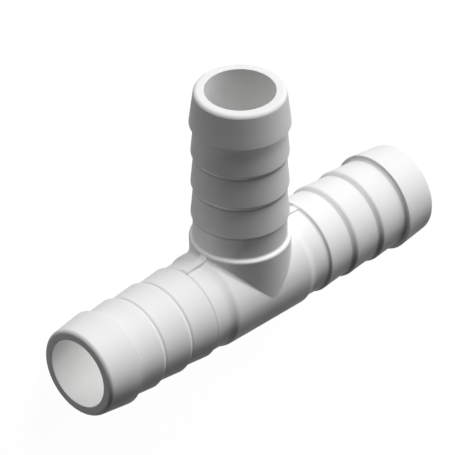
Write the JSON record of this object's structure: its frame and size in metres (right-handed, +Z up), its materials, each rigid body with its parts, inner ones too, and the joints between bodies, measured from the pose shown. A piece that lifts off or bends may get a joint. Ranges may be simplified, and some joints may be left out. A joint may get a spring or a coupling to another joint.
{
  "type": "hose tee connector",
  "caption": "Moulded plastic hose tee: a straight run and a square branch, each end a barbed hose tail, with a blended crotch and a rib each side of the branch.",
  "frame": {"origin": "crossing of the run's axis and the branch's axis", "axes": "+X along the straight run, +Y along the branch towards its end face, +Z up from the floor that the tee lies flat on"},
  "size_m": [0.121, 0.0751, 0.0274],
  "materials": {
    "tee_body": "matte, plain moulded"
  },
  "bodies": {
    "root": {"tee_body": "tee_body"}
  },
  "joints": []
}
